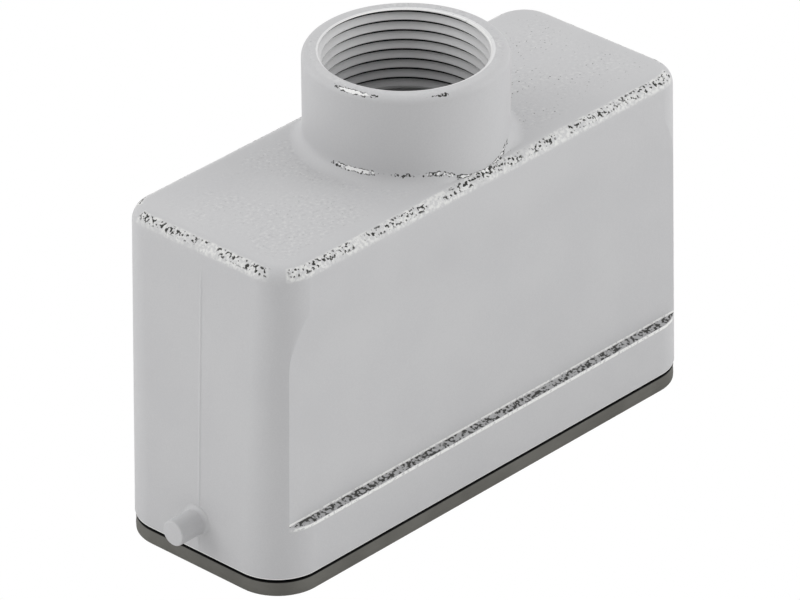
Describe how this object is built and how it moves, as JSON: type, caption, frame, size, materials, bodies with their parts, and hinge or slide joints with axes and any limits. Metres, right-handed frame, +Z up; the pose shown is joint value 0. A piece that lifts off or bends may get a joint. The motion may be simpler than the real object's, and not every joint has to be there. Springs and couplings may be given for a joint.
{
  "type": "heavy duty rectangular connector",
  "caption": "Rectangular cable-side connector: grey die-cast hood with threaded top entry, two locking pegs, a rim seal and a recessed male pin insert.",
  "frame": {"origin": "centre of the seal's underside, on which the connector stands with its mouth down", "axes": "+X along the length through both locking pegs, +Y across the width, +Z up along the cable entry"},
  "size_m": [0.0952, 0.032, 0.064],
  "materials": {
    "powder_coat": "light grey powder coat with a fine orange-peel grain over die-cast aluminium",
    "seal_rubber": "matt dark grey moulded rubber",
    "insulator_plastic": "satin light grey moulded plastic",
    "contact_silver": "silver-plated turned copper alloy",
    "terminal_steel": "zinc-plated steel",
    "plated_steel": "zinc-plated sheet steel",
    "screw_steel": "zinc-plated steel"
  },
  "bodies": {
    "root": {"hood": "powder_coat", "seal": "seal_rubber", "insert_body": "insulator_plastic", "earth_plate_left": "plated_steel", "earth_plate_right": "plated_steel", "earth_clamp_left": "plated_steel", "earth_clamp_right": "plated_steel", "earth_screw_left": "screw_steel", "earth_screw_right": "screw_steel", "fixing_screws": "screw_steel", "fixing_lock_washers": "plated_steel", "terminal_screws": "terminal_steel", "contact_01": "contact_silver", "contact_02": "contact_silver", "contact_03": "contact_silver", "contact_04": "contact_silver", "contact_05": "contact_silver", "contact_06": "contact_silver", "contact_07": "contact_silver", "contact_08": "contact_silver", "contact_09": "contact_silver", "contact_10": "contact_silver", "contact_11": "contact_silver", "contact_12": "contact_silver", "contact_13": "contact_silver", "contact_14": "contact_silver", "contact_15": "contact_silver", "contact_16": "contact_silver"}
  },
  "joints": []
}
